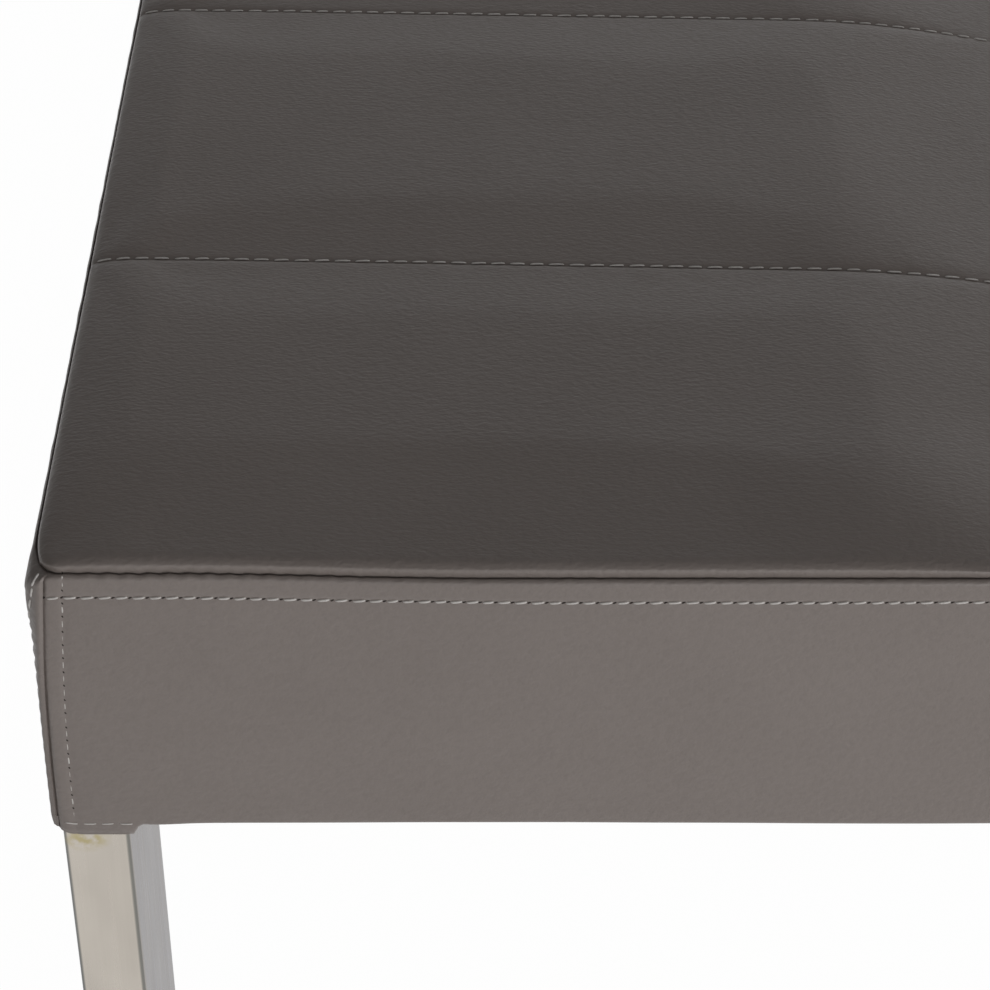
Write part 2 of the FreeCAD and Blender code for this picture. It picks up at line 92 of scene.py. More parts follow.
# Cover
LEATHER_THICKNESS = 1.2 * MM
CORNER_RADIUS = 3.8 * MM  # upright corners
SEAM_CORNER_X = 8 * MM  # edge seam's round at the corners, along the bench
SEAM_CORNER_Y = 16 * MM  # and across it
CORNER_RISE = 1.3 * MM  # edge seam at the corners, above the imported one
SIDE_DIP = 1.8 * MM  # edge seam along the two long sides, below the corners
DIP_START = 35 * MM  # from a corner to the start of that dip
DIP_LENGTH = 95 * MM  # and from there to its full depth
SEAM_DEPTH = 2.8 * MM  # how far both covers go down into the edge seam
ROLL_HEIGHT = 2.0 * MM  # bend at the top of the boxing
SQUARE_BEND = 2.8  # its fullness: 2 is round, more is squarer
BEND_STEPS = 8
ROLL_GAP = 0.4 * MM  # top of the bend, below the edge seam
TOPSTITCH_DROP = 8.2 * MM  # topstitched line, below the edge seam
CORNER_STITCH = 5.5 * MM  # topstitched line, to each side of a corner seam
CORNER_SLANT = 4.8 * MM  # a corner seam comes this much nearer to the corner below
SLANT_REACH = 60 * MM
HEM_STITCH = 5.4 * MM  # stitched line, above the lower edge of a leg flap
HEM_WIDTH = 24 * MM
FLAP_LAP = 4.1 * MM  # a flap reaches this far past its leg
FLAP_SLOPE = 2.7 * MM  # slanting end of a flap

# Relief of the boxing, out of its plain walls
DEEPEST = 1.15 * MM  # no hollow goes deeper, because the felt is just behind
GROOVE_WIDTH = 0.9 * MM  # a stitched line draws the leather in over this width
TOP_GROOVE = 0.25 * MM
CORNER_GROOVE = 0.22 * MM
BAND_RISE = 0.25 * MM  # band between the topstitched line and the edge seam
ALLOWANCE_RISE = 0.2 * MM  # seam allowance under a panel, beside a corner seam
WALL_HOLLOWS = 0.35 * MM  # broad unevenness of a wall
WALL_RIPPLES = 0.06 * MM  # and fine unevenness
CORNER_RIDGE = 1.1 * MM  # an end panel's ridge along a corner seam
CORNER_PUCKERS = 0.22 * MM  # and its puckers, one to a stitch
TOP_LEAN = 1.15 * MM  # an end panel leans in by this much at its top
TOP_GATHERS = 0.3 * MM  # and is gathered there
FOLD_DEPTH = 1.5 * MM  # round of the fold at the lower edge

# Quilted top
STITCHED_Y = 81.5 * MM  # stitched lines, to the front and back of the middle
ROW_EDGES = (-PAD_Y, -STITCHED_Y, STITCHED_Y, PAD_Y)
STITCH_RISE = 4.6 * MM  # stitched lines, above the edge seam
CROWN_RISE = 6.8 * MM  # middle of a row, above the edge seam
EDGE_ROLL = 5.5 * MM  # tight roll at the front and back edges
EDGE_ROLL_RISE = 3.7 * MM
EDGE_OVERHANG = 1.4 * MM  # the top swells out over the edge seam at the front and back
SCALLOP_PITCH = 5.6 * MM  # puckers along the edge seam
LINE_ROLL = 7.5 * MM  # tight roll at a stitched line
LINE_ROLL_RISE = 1.8 * MM
CROWN_REACH = 55 * MM  # gentle rise from a tight roll to the crown
END_ROLL = 5 * MM  # tight roll at the bench's two ends
END_SLOPE = 36 * MM  # and the gentle rise behind it
VALLEY_DROP = 7.0 * MM  # deep seam between sections, below the edge seam
VALLEY_ROLL = 85 * MM
VALLEY_FADE = 40 * MM  # a deep seam comes up to the edge over this length
VALLEY_PULL = 2.2 * MM  # a deep seam draws its whole section down by this much
LINE_START = 0.6 * MM  # stitched lines, to the back of their place at the bench's ends
LINE_SKEW = 5.2 * MM  # and run out of square by this much over a section
TOP_HOLLOWS = 0.45 * MM  # broad unevenness of the top
LINE_GATHERS = 0.16 * MM  # gathers beside a stitched line
SCALLOP = 0.22 * MM  # height of a pucker of the edge seam
TUCK_WIDTH = 0.38 * MM  # width over which the top goes down into a seam

# Stitches
TOPSTITCH_PITCH = 4.7 * MM
CORNER_PITCH = 5.2 * MM
QUILTING_PITCH = 6.3 * MM
STITCH_LENGTH = 3.8 * MM  # of one modelled stitch, for the pitch below
STITCH_PITCH = 5.0 * MM
THREAD_WIDTH = 0.74 * MM
SPACING = (0.92, 1.08)  # single spaces between needle holes, as shares of the pitch
FILLING = (0.95, 1.04)  # single stitches, as shares of their usual length
ASKEW = 2  # degrees that a stitch may lie out of line
UNSTEADY = 0.07  # share of the thread's width that it may lie higher or lower


# Small tools


def deselect_all():
    bpy.ops.object.select_all(action="DESELECT")


def make_active(piece):
    deselect_all()
    piece.select_set(True)
    bpy.context.view_layer.objects.active = piece


def new_piece(name):
    """The object that an operator has just added, under its own name."""
    piece = bpy.context.object
    piece.name = name
    piece.data.name = name
    return piece


def finish_with(piece, kind, **settings):
    """Adds one modifier and applies it."""
    make_active(piece)
    modifier = piece.modifiers.new(kind, kind)
    for key, value in settings.items():
        setattr(modifier, key, value)
    bpy.ops.object.modifier_apply(modifier=modifier.name)


def shade_smooth(piece, degrees=180):
    make_active(piece)
    bpy.ops.object.shade_smooth_by_angle(angle=math.radians(degrees))


def paint(piece, material):
    piece.data.materials.clear()
    piece.data.materials.append(material)


def dress(piece, material, slot):
    """Gives a piece its material and puts it on the bench."""
    paint(piece, material)
    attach(piece, "root")


def add_object(name, data):
    made = bpy.data.objects.new(name, data)
    bpy.context.collection.objects.link(made)
    return made


def moved_copy(piece, name, matrix):
    """Copy of a piece with its own mesh, moved by a matrix."""
    mesh = piece.data.copy()
    mesh.transform(matrix)
    return add_object(name, mesh)


def turned_half(piece, name):
    """Copy of a piece, turned half round the bench's middle."""
    return moved_copy(piece, name, Matrix.Rotation(math.pi, 4, "Z"))


def add_grid(name, columns, rows, point):
    """Grid with a vertex at point(column, row) for each of the columns and rows."""
    across = len(columns) - 1
    along = len(rows) - 1
    deselect_all()
    bpy.ops.mesh.primitive_grid_add(x_subdivisions=across, y_subdivisions=along, size=1)
    piece = new_piece(name)
    for vertex in piece.data.vertices:
        column = columns[round((vertex.co.x + 0.5) * across)]
        row = rows[round((vertex.co.y + 0.5) * along)]
        vertex.co = point(column, row)
    return piece


def edit_all(piece, *steps):
    """Runs mesh operators one after another in edit mode, from all of a piece selected."""
    make_active(piece)
    bpy.ops.object.mode_set(mode="EDIT")
    bpy.ops.mesh.select_mode(type="EDGE")
    bpy.ops.mesh.select_all(action="SELECT")
    for step in steps:
        step()
    bpy.ops.object.mode_set(mode="OBJECT")


def face_outwards(piece, outwards):
    """Turns a sheet's faces over if they point against outwards(middle of the face)."""
    if sum(face.normal.dot(outwards(face.center)) for face in piece.data.polygons) < 0:
        edit_all(piece, bpy.ops.mesh.flip_normals)


def roll(share):
    """Height share of a quarter round over the share of its length."""
    return math.sqrt(1 - (1 - min(max(share, 0.0), 1.0)) ** 2)


def slope_off(share, power=2):
    """Height share of a curve that starts steep and ends level."""
    return 1 - (1 - min(max(share, 0.0), 1.0)) ** power


def ease(share):
    """Smooth step from 0 to 1."""
    share = min(max(share, 0.0), 1.0)
    return share * share * (3 - 2 * share)


def bell(distance, width):
    return math.exp(-((distance / width) ** 2))


def uneven(size, x, y, seed):
    """Smooth unevenness from -1 to 1 with bumps of about one size."""
    return noise.noise(Vector((x / size, y / size, seed)))


def spread(start, end, spacing):
    """Even places from start to end, about a spacing apart."""
    count = max(1, round(abs(end - start) / spacing))
    return [start + (end - start) * n / count for n in range(count + 1)]


def seam_height(x):
    """Height of the edge seam: it stands up a little at the corners."""
    return SEAM_Z + CORNER_RISE - SIDE_DIP * ease((PAD_X - abs(x) - DIP_START) / DIP_LENGTH)


def seam_scallop(x):
    """Puckers of the edge seam along the two long sides, most near the corners."""
    wave = math.cos(2 * math.pi * x / SCALLOP_PITCH) + uneven(9 * MM, abs(x), 0, 1.3)
    return SCALLOP * wave * (0.3 + 0.7 * bell(PAD_X - abs(x) - 35 * MM, 45 * MM))


# Materials


def linear(hex_colour):
    """sRGB hex colour as linear RGBA."""
    channels = [int(hex_colour[n : n + 2], 16) / 255 for n in (1, 3, 5)]
    return [c / 12.92 if c <= 0.04045 else ((c + 0.055) / 1.055) ** 2.4 for c in channels] + [1.0]


def per_metre(*sizes):
    """Pattern scale for spots of these sizes in millimetres."""
    return [1 / (size * MM) for size in sizes]


def set_inputs(node, inputs):
    """Links each input that is given a socket, and sets the others."""
    for key, value in inputs.items():
        if isinstance(value, bpy.types.NodeSocket):
            node.id_data.links.new(value, node.inputs[key])
        else:
            node.inputs[key].default_value = value


def add_node(tree, kind, inputs=None, **settings):
    """Adds a shader node with its settings and links, and gives the first of its outputs in use."""
    node = tree.nodes.new(f"ShaderNode{kind}")
    for key, value in settings.items():
        setattr(node, key, value)
    set_inputs(node, inputs or {})
    return next((socket for socket in node.outputs if socket.enabled), None)


def new_material(name):
    """Material with a call that adds its nodes, its shader and the piece's own coordinates."""
    material = bpy.data.materials.new(name)
    material.use_nodes = True
    add = partial(add_node, material.node_tree)
    coords = add("TexCoord").node.outputs["Object"]
    return material, add, material.node_tree.nodes["Principled BSDF"], coords


def mottled(name, sizes, tones, depth=0.0, detail=2.0, distortion=0.0, **sockets):
    """Finish of two tones in spots of these sizes in millimetres, which may stand out by a depth."""
    material, add, shader, coords = new_material(name)
    lay = add("Mapping", {"Vector": coords, "Scale": per_metre(*sizes)})
    spots = add("TexNoise", {"Vector": lay, "Scale": 1.0, "Detail": detail, "Distortion": distortion})
    first, second = (linear(tone) for tone in tones)
    tone = add("Mix", {"Factor": spots, "A": first, "B": second}, data_type="RGBA")
    set_inputs(shader, {"Base Color": tone, **sockets})
    if depth > 0:
        set_inputs(shader, {"Normal": add("Bump", {"Height": spots, "Distance": depth})})
    return material, add, shader, spots


def grained_leather():
    # Coated upholstery leather, embossed with short fine wrinkles: a satin surface with a soft highlight.
    material, add, shader, coords = new_material("grained_leather")
    stretch = add("Mapping", {"Vector": coords, "Scale": per_metre(2.2, 1.1, 1.8)})
    wrinkles = add("TexNoise", {"Vector": stretch, "Scale": 1.0, "Detail": 2.0, "Roughness": 0.55})
    cloud_map = add("Mapping", {"Vector": coords, "Scale": per_metre(60, 45, 45)})
    clouds = add("TexNoise", {"Vector": cloud_map, "Scale": 1.0, "Detail": 2.0})
    tone = add("Mix", {"Factor": clouds, "A": linear("#786f6a"), "B": linear("#817873")}, data_type="RGBA")
    # Painted shade: the leather is painted a little darker down in the creases of its grain.
    deep = {"From Min": 0.3, "From Max": 0.6, "To Min": 0.05, "To Max": 0.0}
    crease = add("MapRange", {"Value": wrinkles, **deep})
    crease_shaded = add("Mix", {"Factor": crease, "A": tone, "B": linear("#3d3937")}, data_type="RGBA")
    satin = {"From Min": 0.3, "From Max": 0.7, "To Min": 0.5, "To Max": 0.38}
    gloss = add("MapRange", {"Value": wrinkles, **satin})
    relief = add("Bump", {"Height": wrinkles, "Distance": 0.25 * MM})
    set_inputs(shader, {"Base Color": crease_shaded, "Roughness": gloss, "Normal": relief, "IOR": 1.5})
    return material


def sewing_thread():
    # Bonded polyester thread: pale grey, a little glossy, slightly uneven in tone.
    return mottled("sewing_thread", (1.5, 1.5, 1.5), ("#b3afab", "#dedad6"), Roughness=0.45)[0]


def needle_hole():
    # Painted shade of a needle hole: the shade inside it, where the needle pressed the leather in, painted
    # dark and dull.
    dull = {"Roughness": 0.9, "Specular IOR Level": 0.15}
    return mottled("needle_hole", (0.6, 0.6, 0.6), ("#262220", "#3f3936"), **dull)[0]


def brushed_stainless():
    # Stainless tube brushed along its length: fine streaks, drawn coarser than the real grit so that they
    # show, with a dark line of painted shade where it turns at the rounded edges, and with a yellowish
    # trace of glue just under the cover.
    material, add, shader, coords = new_material("brushed_stainless")
    streak_map = add("Mapping", {"Vector": coords, "Scale": per_metre(0.8, 0.8, 70)})
    streaks = add("TexNoise", {"Vector": streak_map, "Scale": 1.0, "Detail": 3.0})
    cloud_map = add("Mapping", {"Vector": coords, "Scale": per_metre(16, 16, 34)})
    clouds = add("TexNoise", {"Vector": cloud_map, "Scale": 1.0, "Detail": 2.0})
    metal = add("Mix", {"Factor": clouds, "A": linear("#b2aba2"), "B": linear("#c9c2b8")}, data_type="RGBA")
    # Painted shade: a dark line where the surface turns between front and side, at the rounded edges.
    facing = add("SeparateXYZ", {"Vector": coords.node.outputs["Normal"]}).node.outputs
    turned = add("Math", {0: facing["X"], 1: facing["Y"]}, operation="MULTIPLY")
    turned = add("Math", {0: turned}, operation="ABSOLUTE")
    edge = add("MapRange", {"Value": turned, "From Min": 0.25, "From Max": 0.47, "To Max": 0.75})
    metal = add("Mix", {"Factor": edge, "A": metal, "B": linear("#5f625f")}, data_type="RGBA")
    trace_size = per_metre(8, 30, 6)
    trace_place = (LEG_LOW.x + 7 * MM, LEG_LOW.y, FLAP_Z - 2.5 * MM)
    shift = [-place * size for place, size in zip(trace_place, trace_size)]
    trace_map = add("Mapping", {"Vector": coords, "Scale": trace_size, "Location": shift})
    away = add("VectorMath", {0: trace_map}, operation="LENGTH")
    trace = add("MapRange", {"Value": away, "From Min": 1.0, "From Max": 0.4})
    spots = add("TexNoise", {"Vector": coords, "Scale": per_metre(3)[0], "Detail": 4.0})
    patches = add("MapRange", {"Value": spots, "From Min": 0.36, "From Max": 0.6, "To Max": 0.75})
    glue = add("Math", {0: trace, 1: patches}, operation="MULTIPLY")
    stained = add("Mix", {"Factor": glue, "A": metal, "B": linear("#a99c6c")}, data_type="RGBA")
    brushing = {"From Min": 0.3, "From Max": 0.7, "To Min": 0.24, "To Max": 0.38}
    gloss = add("MapRange", {"Value": streaks, **brushing})
    relief = add("Bump", {"Height": streaks, "Distance": 0.02 * MM})
    set_inputs(shader, {"Base Color": stained, "Roughness": gloss, "Normal": relief})
    set_inputs(shader, {"Metallic": 1.0, "Specular Tint": linear("#c6c9d0")})
    return material


def moulded_plastic():
    # Moulded black polyethylene foot: dull, with a fine spark eroded texture.
    tones = ("#131313", "#1f1f20")
    return mottled("moulded_plastic", (0.8, 0.8, 0.8), tones, depth=0.06 * MM, Roughness=0.52)[0]


def planed_softwood():
    # Planed spruce: pale straw rings, long along the board, with a dull bare surface.
    tones = ("#e3cda3", "#b98c52")
    rings = {"depth": 0.15 * MM, "detail": 4.0, "distortion": 0.6}
    return mottled("planed_softwood", (120, 9, 6), tones, **rings, Roughness=0.68)[0]


def sanded_plywood():
    # Sanded poplar plywood: broad pale figure on its faces and thin plies at its edges.
    figure = {"detail": 4.0, "distortion": 0.8}
    return mottled("sanded_plywood", (160, 22, 1.5), ("#e6d3b0", "#bd9862"), **figure, Roughness=0.7)[0]


def cut_foam():
    # Cut polyurethane foam: open cells, matt and cream.
    cells = {"depth": 0.4 * MM, "detail": 3.0}
    return mottled("cut_foam", (1.2, 1.2, 1.2), ("#bfae7c", "#efe7cb"), **cells, Roughness=0.95)[0]


def pressed_felt():
    # Pressed grey wadding: short loose fibres.
    fibres = {"detail": 4.0, "distortion": 1.5}
    return mottled("pressed_felt", (3, 0.5, 0.5), ("#6f6d6a", "#97948f"), **fibres, Roughness=0.95)[0]


def spunbond_cloth():
    # Black spunbond cloth: matt, with a field of small welded points.
    tones = ("#0d0d0e", "#2c2c30")
    fibres = {"detail": 3.0, "distortion": 2.0}
    material, add, shader, _ = mottled("spunbond_cloth", (4, 0.6, 0.6), tones, **fibres, Roughness=0.9)
    coords = add("TexCoord").node.outputs["Object"]
    points = add("TexVoronoi", {"Vector": coords, "Scale": per_metre(1.6)[0]})
    relief = add("Bump", {"Height": points, "Distance": 0.25 * MM})
    set_inputs(shader, {"Normal": relief})
    return material


def zinc_plate():
    # Bright zinc plated steel: silvery, with faint bluish clouding that is duller in places.
    tones = ("#b2b6bc", "#d5d5d3")
    material, add, shader, clouds = mottled("zinc_plate", (3, 3, 3), tones, detail=3.0, Metallic=1.0)
    gloss = add("MapRange", {"Value": clouds, "To Min": 0.24, "To Max": 0.46})
    set_inputs(shader, {"Roughness": gloss})
    return material


LEATHER = grained_leather()
THREAD = sewing_thread()
HOLE_SHADE = needle_hole()
CLOTH = spunbond_cloth()
ZINC = zinc_plate()

SLOT_FINISHES = {
    "cover_leather": LEATHER,
    "leg_steel": brushed_stainless(),
    "foot_plastic": moulded_plastic(),
    "frame_wood": planed_softwood(),
    "deck_plywood": sanded_plywood(),
    "seat_foam": cut_foam(),
    "padding_felt": pressed_felt(),
    "dust_cloth": CLOTH,
    "plated_fasteners": ZINC,
}


def finish_packed_pieces():
    """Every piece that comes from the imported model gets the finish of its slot."""
    for subpart in frame["record"]["subparts"]:
        paint(frame["nodes"][subpart["node"]], SLOT_FINISHES[subpart["material_slot"]])


# Boxing: the stitched sides of the cover

CORNER_RUN_X = SEAM_INSET + SEAM_CORNER_X - CORNER_RADIUS  # flat walls that lie over the seam's round
CORNER_RUN_Y = SEAM_INSET + SEAM_CORNER_Y - CORNER_RADIUS
CORNER_ARC = CORNER_RADIUS * QUARTER_TURN
CORNER_PATH = CORNER_RUN_X + CORNER_ARC + CORNER_RUN_Y
STRAIGHT_X = PAD_X - SEAM_CORNER_X
STRAIGHT_Y = PAD_Y - SEAM_CORNER_Y
END_PATH = STRAIGHT_Y + CORNER_PATH - (CORNER_SEAM_X - STRAIGHT_X)  # end panel, middle to corner seam


def corner_station(distance):
    """Wall, edge seam and outward direction in plan at the front left corner.

    The distance runs along the wall, from the end of the front's straight stretch round to the end's.
    """
    seam_turn = QUARTER_TURN * distance / CORNER_PATH
    seam_x = -STRAIGHT_X - SEAM_CORNER_X * math.sin(seam_turn)
    seam = Vector((seam_x, -STRAIGHT_Y - SEAM_CORNER_Y * math.cos(seam_turn)))
    if distance <= CORNER_RUN_X:
        return Vector((-STRAIGHT_X - distance, -HALF_DEPTH)), seam, Vector((0, -1))
    if distance >= CORNER_RUN_X + CORNER_ARC:
        beyond = distance - CORNER_RUN_X - CORNER_ARC
        wall = Vector((-HALF_LENGTH, -HALF_DEPTH + CORNER_RADIUS + beyond))
        return wall, seam, Vector((-1, 0))
    turn = (distance - CORNER_RUN_X) / CORNER_RADIUS
    out = Vector((-math.sin(turn), -math.cos(turn)))
    centre = Vector((CORNER_RADIUS - HALF_LENGTH, CORNER_RADIUS - HALF_DEPTH))
    return centre + CORNER_RADIUS * out, seam, out


def front_station(x):
    """The same on the front panel, by the place along X."""
    if abs(x) <= STRAIGHT_X:
        return Vector((x, -HALF_DEPTH)), Vector((x, -PAD_Y)), Vector((0, -1))
    mirror = Vector((-math.copysign(1, x), 1))
    return [plan * mirror for plan in corner_station(abs(x) - STRAIGHT_X)]


def end_station(along):
    """The same on the left end panel, by the distance from its middle, positive to the back."""
    if abs(along) <= STRAIGHT_Y:
        return Vector((-HALF_LENGTH, along)), Vector((-PAD_X, along)), Vector((-1, 0))
    mirror = Vector((1, -math.copysign(1, along)))
    return [plan * mirror for plan in corner_station(CORNER_PATH - abs(along) + STRAIGHT_Y)]


class Panel:
    """One boxing panel: where its columns stand, where it ends and where its leg flaps begin."""

    seed = 0.0
    slant = 1  # a corner seam's slant makes this panel longer (1) or shorter (-1) below
    bend_slack = 1 * MM  # extra length of the line beside a corner seam, on the bend
    corner_lift = -0.44  # its thread lies this much of its width above the leather
    # sizes of the dark dishes of painted shade in the needle holes, as shares of the modelled one
    corner_holes = 0.65
    top_start = 0.5 * MM  # the line under the edge seam starts this far from a corner seam
    top_lift = 0.28
    top_holes = 1.0
    band_start = 1 * MM  # the topstitched band stands out from this far off a corner seam
    wall_rows = 24

    def __init__(self, name, station, half_path, leg_inner):
        self.name = name
        self.station = station
        self.half_path = half_path
        self.leg_inner = leg_inner

    def edge(self, along):
        """Distance to the nearer corner seam."""
        return self.half_path - abs(along)

    def place(self, along, z):
        """Wall, edge seam and outward direction at a height, where the corner seams slant."""
        share = slope_off((SEAM_Z - z) / BOXING_HEIGHT)
        return self.station(along + self.reach(along) * share * math.copysign(1, along))

    def reach(self, along):
        """Shift of the lower edge towards the corner, by the slant."""
        return self.slant * CORNER_SLANT * (1 - ease(self.edge(along) / SLANT_REACH))

    def foot(self, along):
        """Distance of the lower edge from the panel's middle."""
        return abs(along) + self.reach(along)

    def flap(self, along):
        """0 between the legs, 1 on a leg flap."""
        return ease((self.foot(along) - self.leg_inner + FLAP_LAP) / FLAP_SLOPE)

    def flap_lift(self, along):
        """How far a leg flap's lower edge comes up towards its corner."""
        return 0.1 * MM + 2.8 * MM * (1 - slope_off(self.edge(along) / (7 * MM)))

    def bottom(self, along):
        """Height of the lower edge, which sags beside a leg flap and waves a little."""
        flap = self.flap(along)
        sag = 0.7 * MM * bell(self.foot(along) - self.leg_inner + 9 * MM, 9 * MM)
        wave = 0.15 * MM * uneven(60 * MM, along, 0, self.seed + 2)
        drop = UNDERSIDE_Z - FLAP_Z - self.flap_lift(along)
        return UNDERSIDE_Z - sag * (1 - flap) + wave - drop * flap

    def seam_level(self, along):
        return seam_height(self.station(along)[1].x) + self.scallop(along)

    def scallop(self, along):
        return seam_scallop(along) * ease(self.edge(along) / (15 * MM))

    def roll_height(self, along):
        """Height of the bend at the top."""
        return ROLL_HEIGHT

    def roll_power(self, along):
        """Fullness of that bend."""
        return SQUARE_BEND

    def topstitch(self, along):
        """Height of the topstitched line, guided by hand and so a little uneven."""
        wave = 0.45 * MM * uneven(50 * MM, along, 0, self.seed + 7)
        return self.seam_level(along) - self.scallop(along) - TOPSTITCH_DROP + wave

    def corner_stitch(self, z):
        """Distance of the topstitched line from a corner seam."""
        return CORNER_STITCH

    def corner_relief(self, edge, z):
        """The seam allowance lies under this panel and the seam pulls its edge in."""
        beyond = edge - self.corner_stitch(z)
        allowance = ALLOWANCE_RISE * (1 - ease(beyond / (1.2 * MM) + 0.5))
        stitched = CORNER_GROOVE * bell(beyond, GROOVE_WIDTH)
        return allowance - stitched - 0.55 * MM * bell(edge, 0.8 * MM)

    def lean(self, along, z):
        return 0.0

    def relief(self, along, z):
        """How far the surface stands out of the plain wall."""
        edge = self.edge(along)
        topstitch = self.topstitch(along)
        band = BAND_RISE * ease((z - topstitch) / (1.5 * MM))
        stitched = TOP_GROOVE * bell(z - topstitch, GROOVE_WIDTH)
        hollow = WALL_HOLLOWS * uneven(110 * MM, along, 2 * z, self.seed)
        ripple = WALL_RIPPLES * uneven(25 * MM, along, z / 3, self.seed + 4)
        loose = ease((topstitch - z) / (12 * MM)) * ease(edge / (25 * MM))
        outward = (band - stitched) * ease(edge / self.band_start) + (hollow + ripple) * loose
        return max(outward + self.corner_relief(edge, z) + self.lean(along, z), -DEEPEST)

    def surface(self, along, z):
        """Point and outward direction on the wall and on the bend at its top."""
        wall, seam, out = self.place(along, z)
        up = min(max(1 - (self.seam_level(along) - ROLL_GAP - z) / self.roll_height(along), 0.0), 1.0)
        power = self.roll_power(along)
        across = (1 - up**power) ** (1 / power)
        point = seam + (wall - seam + out * self.relief(along, z)) * across
        turn = math.atan2(up ** (power - 1), across ** (power - 1))
        outward = out * math.cos(turn)
        return Vector((point.x, point.y, z)), Vector((outward.x, outward.y, math.sin(turn)))

    def columns(self):
        """Places along the panel: close together at the corner seams, wider apart between them."""
        near = [-0.2, 0.2, 0.5, 0.9, 1.4, 2.0, 2.7, 3.4, 4.0, 4.5, 5.0, 5.5, 6.0, 6.8, 8, 10, 13]
        ends = [self.half_path - step * MM for step in near]
        puckered = self.half_path - 90 * MM
        towards_corner = spread(puckered, ends[-1], 1.4 * MM)[1:] + ends[-2::-1]
        middle = spread(-puckered, puckered, 3 * MM)
        return [-place for place in reversed(towards_corner)] + middle + towards_corner

    def profile(self, along):
        """Points down the panel: out of the edge seam, over the roll, down the wall, round the hem."""
        level = self.seam_level(along)
        wall, seam, _ = self.station(along)
        inward = (seam - wall).normalized() * 0.6 * MM
        points = [(seam + inward * deep, level - SEAM_DEPTH * deep) for deep in (1, 0.5)]
        drops = [1 - math.sin(QUARTER_TURN * (1 - step / BEND_STEPS)) for step in range(1, BEND_STEPS + 1)]
        bend = [level - ROLL_GAP - self.roll_height(along) * drop for drop in drops]
        bottom = self.bottom(along)
        flap = self.flap(along)
        fold_height = (1.6 + 1.8 * flap) * MM
        fold_top = bottom + fold_height
        fine = [bend[-1] - 0.7 * MM * step for step in range(1, 14)]
        steps = range(1, self.wall_rows + 1)
        coarse = [fine[-1] + (fold_top - fine[-1]) * step / self.wall_rows for step in steps]
        for z in bend + fine + coarse:
            point, out = self.surface(along, z)
            points.append((point.to_2d(), z))
        out = out.to_2d()
        hem_line = points[-1][0]
        for turn in (0.25, 0.5, 0.75, 1.0):
            drop = fold_height * math.sin(turn * QUARTER_TURN)
            depth = FOLD_DEPTH * (1 - math.cos(turn * QUARTER_TURN))
            points.append((hem_line - out * depth, fold_top - drop))
        for share in (0.15, 0.4, 0.7, 1.0):
            under = FOLD_DEPTH + share * (HEM_WIDTH - FOLD_DEPTH) * (1 - flap)
            up = share * 5 * MM * flap
            points.append((hem_line - out * under, bottom + up))
        return [Vector((plan.x, plan.y, z)) for plan, z in points]


class EndPanel(Panel):
    """An end's panel: it goes round both corners, and its edges lie over the front and back panels."""

    seed = 6.1
    slant = -1
    bend_slack = 3 * MM
    corner_lift = 0.05
    corner_holes = 0.0
    top_start = 8 * MM
    top_lift = 0.15
    top_holes = 0.8
    band_start = 16 * MM
    wall_rows = 80

    def scallop(self, along):
        return 0.0

    def flap_lift(self, along):
        """The flap's lower edge is cut back round the corner."""
        return 0.3 * MM + 4.5 * MM * bell(self.edge(along) - 4.5 * MM, 6 * MM)

    def roll_height(self, along):
        """The bend is fuller round the corner."""
        edge = self.edge(along)
        return ROLL_HEIGHT + 4.2 * MM * ease(edge / (5 * MM)) * bell(edge - 6 * MM, 7 * MM)

    def roll_power(self, along):
        return SQUARE_BEND - (SQUARE_BEND - 2) * ease(self.edge(along) / (5 * MM))

    def corner_stitch(self, z):
        """The line is close to the corner seam at the top and further round the corner below."""
        return CORNER_STITCH + 1.0 * MM - 3.8 * MM * bell(SEAM_Z - z, 16 * MM)

    def corner_relief(self, edge, z):
        """A ridge stands up along the corner seam and falls away round the corner."""
        stitched = CORNER_GROOVE * bell(edge - self.corner_stitch(z), GROOVE_WIDTH)
        puckers = CORNER_PUCKERS * math.cos(2 * math.pi * z / CORNER_PITCH) * bell(edge - 5 * MM, 3 * MM)
        puckers *= ease((SEAM_Z - z - 10 * MM) / (20 * MM))
        ridge = CORNER_RIDGE * bell(edge - 0.7 * MM, 1.9 * MM)
        return ridge + puckers - stitched - 0.5 * MM * bell(edge, 0.4 * MM)

    def lean(self, along, z):
        """It bulges at its corners, under the bend and at the foot, and leans in at the top between."""
        edge = self.edge(along)
        down = SEAM_Z - z
        swell = 0.7 * MM * bell(down - 11 * MM, 9 * MM) + 0.5 * MM * ease((down - 20 * MM) / (40 * MM))
        swell += 1.1 * MM * ease((down - 70 * MM) / (BOXING_HEIGHT - 70 * MM))
        swell = swell * ease(edge / (9 * MM)) * bell(edge, 45 * MM)
        lean = TOP_LEAN * ease((z - SEAM_Z + 30 * MM) / (30 * MM)) * ease((edge - 3 * MM) / (18 * MM))
        gathers = TOP_GATHERS * uneven(9 * MM, along, 0, self.seed + 8) * bell(down - 2 * MM, 5 * MM)
        return swell - lean + gathers * ease(edge / (15 * MM))


FRONT_PANEL = Panel("front_boxing_cover", front_station, CORNER_SEAM_X, LEG_INNER_X)
END_PANEL = EndPanel("left_boxing_cover", end_station, END_PATH, LEG_INNER_Y)


def boxing_cover(panel):
    """A boxing panel as a leather sheet with its thickness."""
    profiles = [panel.profile(along) for along in panel.columns()]
    rows = range(len(profiles[0]))
    piece = add_grid(panel.name, profiles, rows, lambda profile, row: profile[row])
    face_outwards(piece, lambda centre: Vector((centre.x, centre.y, 0)))
    finish_with(piece, "SOLIDIFY", thickness=LEATHER_THICKNESS, offset=-1)
    shade_smooth(piece, 75)
    return piece


# Quilted top pads


def line_shift(x):
    """How far the stitched lines run out of square: to the back at the end, to the front further in."""
    sections_in = (PAD_X - abs(x)) / (PAD_X / 2)
    shift = LINE_START - LINE_SKEW * min(sections_in, 1.0)
    if sections_in > 1:
        shift *= 2 - sections_in
    return shift if x < 0 else -shift


